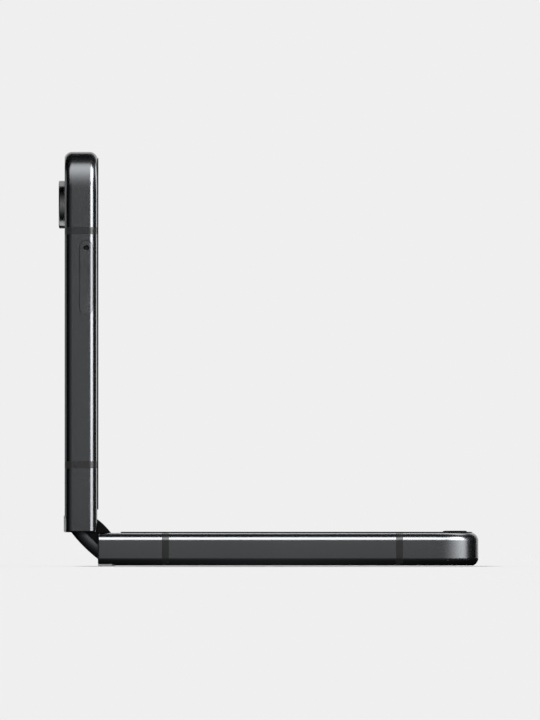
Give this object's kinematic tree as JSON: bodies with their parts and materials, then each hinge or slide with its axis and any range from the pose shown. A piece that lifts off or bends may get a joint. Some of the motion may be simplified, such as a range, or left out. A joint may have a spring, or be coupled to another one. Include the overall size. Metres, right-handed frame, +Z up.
{
  "type": "folding clamshell smartphone",
  "caption": "Clamshell smartphone with a bending inner screen, open at a right angle: one half lies on its back, the other stands up from a geared hinge in a curved metal spine.",
  "frame": {"origin": "middle of the underside of the box round the phone as it stands open at a right angle", "axes": "+X along the lying half from the fold to its far end, +Y across the phone along the fold, towards the keys, +Z up along the standing half"},
  "size_m": [0.091, 0.0722, 0.0898],
  "materials": {
    "frame_metal": "dark graphite anodised, fine satin",
    "spine_metal": "dark graphite, satin",
    "ring_metal": "dark turned metal",
    "back_glass": "opaque black, matte-etched",
    "screen": "black, glossy",
    "black_plastic": "black, fine matt",
    "key_face": "dark, satin",
    "band_plastic": "dark grey, fine matt",
    "rubber": "black, soft",
    "hinge_steel": "sintered steel, satin",
    "spring_steel": "tempered, brownish",
    "battery_wrap": "dark wrap",
    "copper": "copper under a clear film",
    "board": "green solder mask",
    "module_plastic": "black, moulded",
    "lens_glass": "coated, glossy"
  },
  "bodies": {
    "lower_half": {"lower_frame": "frame_metal", "lower_back_cover": "back_glass", "lower_bezel": "black_plastic", "lower_bumpers": "rubber", "lower_antenna_bands": "band_plastic", "lower_display": "screen", "lower_hinge_brackets": "hinge_steel", "lower_battery": "battery_wrap", "charging_coil": "copper", "lower_board": "board", "usb_port": "hinge_steel", "loudspeaker": "module_plastic", "lower_screws": "hinge_steel", "lower_magnets": "hinge_steel"},
    "lower_arm": {"lower_hinge_arms": "hinge_steel", "lower_wing_plate": "hinge_steel"},
    "hinge_spine": {"spine_cover": "spine_metal", "hinge_bases": "hinge_steel", "hinge_shafts": "hinge_steel", "torque_springs": "spring_steel", "fold_end_caps": "black_plastic", "spine_rail": "hinge_steel", "spine_screws": "hinge_steel", "display_fold": "screen", "fold_flex_cables": "copper"},
    "lower_idlers": {"lower_idler_gears": "hinge_steel"},
    "upper_idlers": {"upper_idler_gears": "hinge_steel"},
    "upper_arm": {"upper_hinge_arms": "hinge_steel", "upper_wing_plate": "hinge_steel"},
    "upper_half": {"upper_frame": "frame_metal", "upper_back_cover": "back_glass", "cover_display": "screen", "upper_bezel": "black_plastic", "upper_antenna_bands": "band_plastic", "upper_display": "screen", "upper_hinge_brackets": "hinge_steel", "camera_rings": "ring_metal", "camera_lenses": "lens_glass", "camera_modules": "module_plastic", "flash_led": "lens_glass", "main_board": "board", "board_shields": "hinge_steel", "upper_battery": "battery_wrap", "sim_socket": "hinge_steel", "earpiece": "module_plastic", "front_camera": "module_plastic", "key_flex": "copper", "vibration_motor": "hinge_steel", "upper_screws": "hinge_steel", "upper_magnets": "hinge_steel"},
    "sim_tray": {"sim_tray": "frame_metal", "sim_tray_seal": "rubber"},
    "volume_rocker": {"volume_key": "frame_metal"},
    "side_button": {"side_key": "key_face"}
  },
  "joints": [
    {"name": "lower_slide", "type": "slide", "parent": "lower_half", "child": "lower_arm", "axis": [-1, 0, 0], "range_m": [-0.00103, 0.00103]},
    {"name": "lower_fold", "type": "hinge", "parent": "lower_arm", "child": "hinge_spine", "pos_m": [-0.03517, 0, 0.00491], "axis": [0, 1, 0], "range_deg": [-45, 45], "deforming": ["display_fold", "fold_flex_cables"]},
    {"name": "upper_fold", "type": "hinge", "parent": "hinge_spine", "child": "upper_arm", "pos_m": [-0.03939, 0, 0.00914], "axis": [0, 1, 0], "range_deg": [-45, 45]},
    {"name": "upper_slide", "type": "slide", "parent": "upper_arm", "child": "upper_half", "axis": [0, 0, 1], "range_m": [-0.00103, 0.00103]},
    {"name": "lower_idler_spin", "type": "hinge", "parent": "hinge_spine", "child": "lower_idlers", "pos_m": [-0.03752, 0, 0.00512], "axis": [0, 1, 0], "range_deg": [-45, 45]},
    {"name": "upper_idler_spin", "type": "hinge", "parent": "hinge_spine", "child": "upper_idlers", "pos_m": [-0.03918, 0, 0.00679], "axis": [0, 1, 0], "range_deg": [-45, 45]},
    {"name": "sim_tray_slide", "type": "slide", "parent": "upper_half", "child": "sim_tray", "axis": [0, -1, 0], "range_m": [0, 0.02]},
    {"name": "volume_rock", "type": "hinge", "parent": "upper_half", "child": "volume_rocker", "pos_m": [-0.0405, 0.0332, 0.06088], "axis": [1, 0, 0], "range_deg": [-1.5, 1.5], "stiffness_Nm_per_rad": 0.3},
    {"name": "side_key_press", "type": "slide", "parent": "upper_half", "child": "side_button", "axis": [0, -1, 0], "range_m": [0, 0.00025], "stiffness_N_per_m": 4000}
  ],
  "couplings": [
    {"joint": "lower_fold", "follows": "lower_slide", "rad_per_m": 764},
    {"joint": "upper_fold", "follows": "lower_slide", "rad_per_m": 764},
    {"joint": "upper_slide", "follows": "lower_slide", "ratio": 1},
    {"joint": "lower_idler_spin", "follows": "lower_slide", "rad_per_m": 764},
    {"joint": "upper_idler_spin", "follows": "lower_slide", "rad_per_m": -764}
  ]
}
